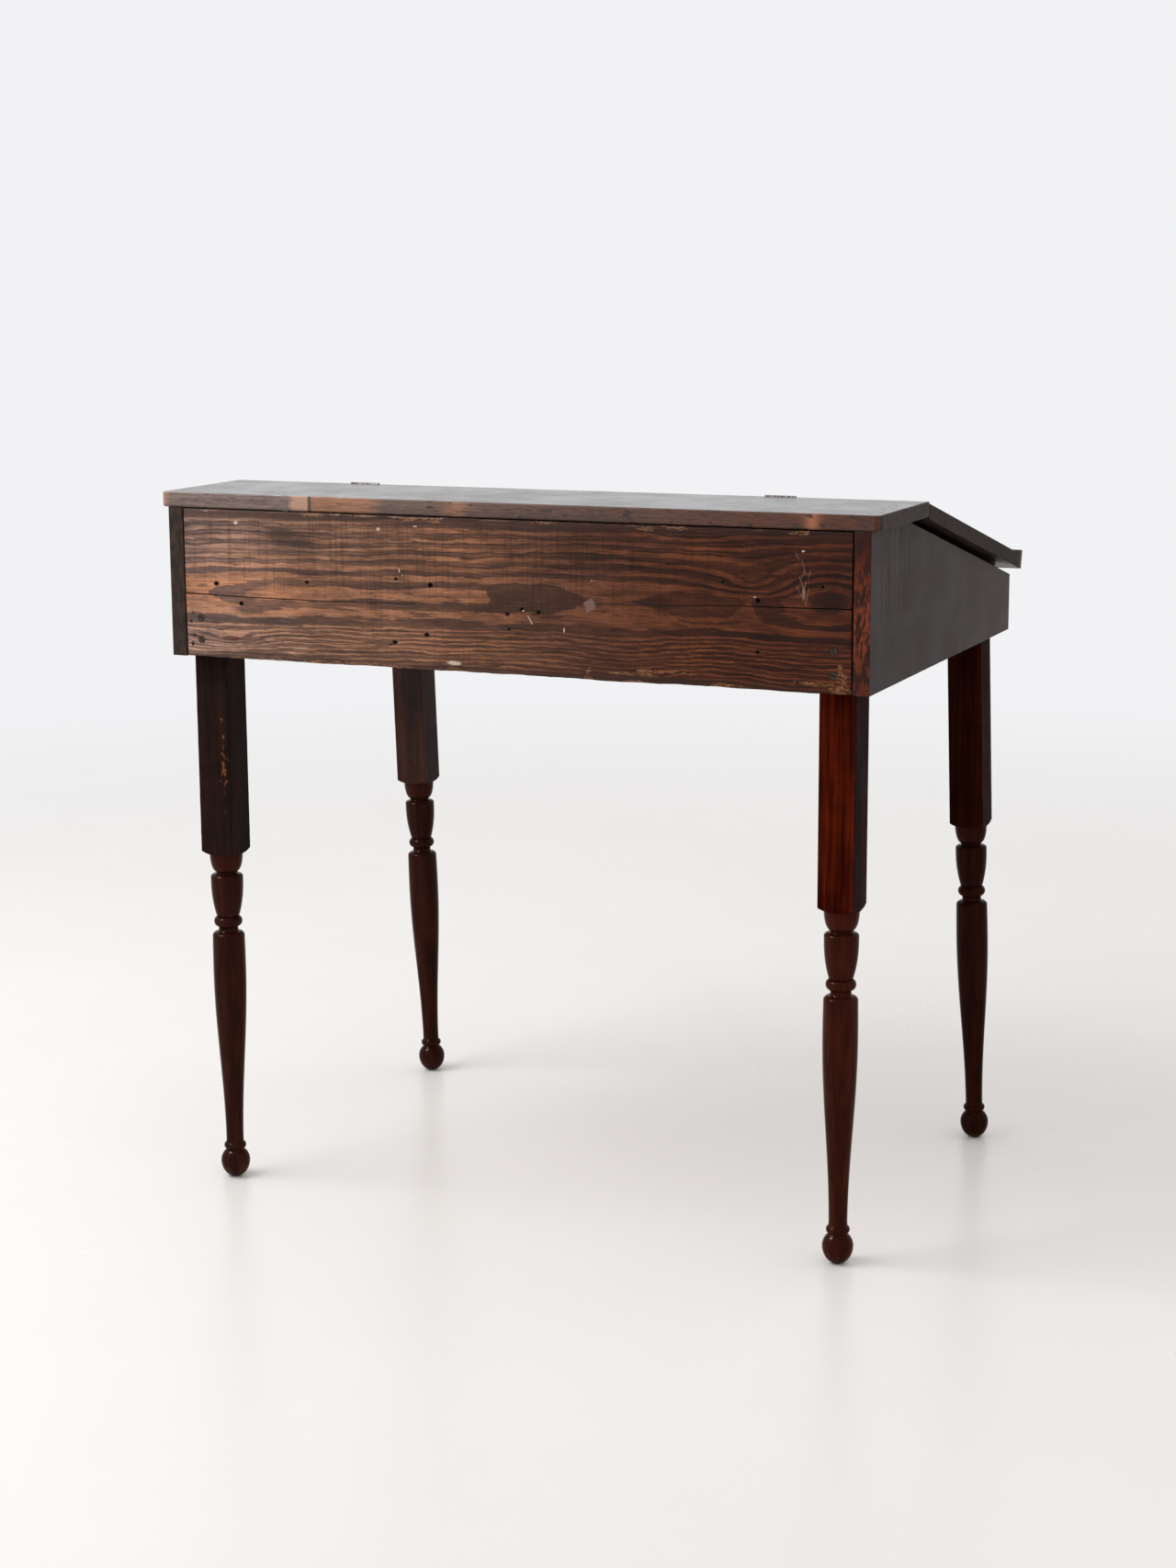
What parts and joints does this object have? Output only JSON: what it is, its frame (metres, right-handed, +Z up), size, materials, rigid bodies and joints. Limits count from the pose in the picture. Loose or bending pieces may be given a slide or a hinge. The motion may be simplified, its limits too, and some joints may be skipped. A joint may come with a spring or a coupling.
{
  "type": "slant top desk",
  "caption": "Antique slant top writing desk: a shallow lift-lid case with a level shelf along its tall back, on turned legs with ball feet.",
  "frame": {"origin": "on the floor, under the middle of the desk", "axes": "+Z up, the writer sits at -Y, the tall back is at +Y, +X along the width"},
  "size_m": [0.993, 0.67, 0.9551],
  "materials": {
    "back_pine": "coarse-grained pine under a worn dark stain, satin",
    "stained_board": "old dark brown stain and varnish, satin, glossy on the level top",
    "inside_board": "bare aged pine, dull",
    "stained_leg": "dark red-brown stain under glossy varnish",
    "hinge_iron": "blackened iron, worn at the knuckles",
    "screw_iron": "darkened steel screws",
    "nail_iron": "dark rusted nails"
  },
  "bodies": {
    "desk": {"back_board": "back_pine", "side_board_left": "stained_board", "side_board_right": "stained_board", "front_board": "stained_board", "shelf_board": "stained_board", "bottom_board_front": "inside_board", "bottom_board_back": "inside_board", "leg_back_left": "stained_leg", "leg_back_right": "stained_leg", "leg_front_left": "stained_leg", "leg_front_right": "stained_leg", "hinge_shelf_leaf_left": "hinge_iron", "hinge_shelf_leaf_right": "hinge_iron", "hinge_pin_left": "hinge_iron", "hinge_pin_right": "hinge_iron", "hinge_screws_shelf": "screw_iron", "leg_screws_back": "screw_iron", "leg_screws_front": "screw_iron", "side_nails_left": "nail_iron", "side_nails_right": "nail_iron", "shelf_nails": "nail_iron"},
    "lid": {"lid_board_upper": "stained_board", "lid_board_lower": "stained_board", "lid_batten_left": "inside_board", "lid_batten_right": "inside_board", "pencil_ledge": "stained_board", "hinge_lid_leaf_left": "hinge_iron", "hinge_lid_leaf_right": "hinge_iron", "hinge_screws_lid": "screw_iron", "batten_screws": "screw_iron", "ledge_brads": "nail_iron"}
  },
  "joints": [
    {"name": "lid_hinge", "type": "hinge", "parent": "desk", "child": "lid", "pos_m": [0, 0.13125, 0.9531], "axis": [-1, 0, 0], "range_deg": [0, 194]}
  ]
}
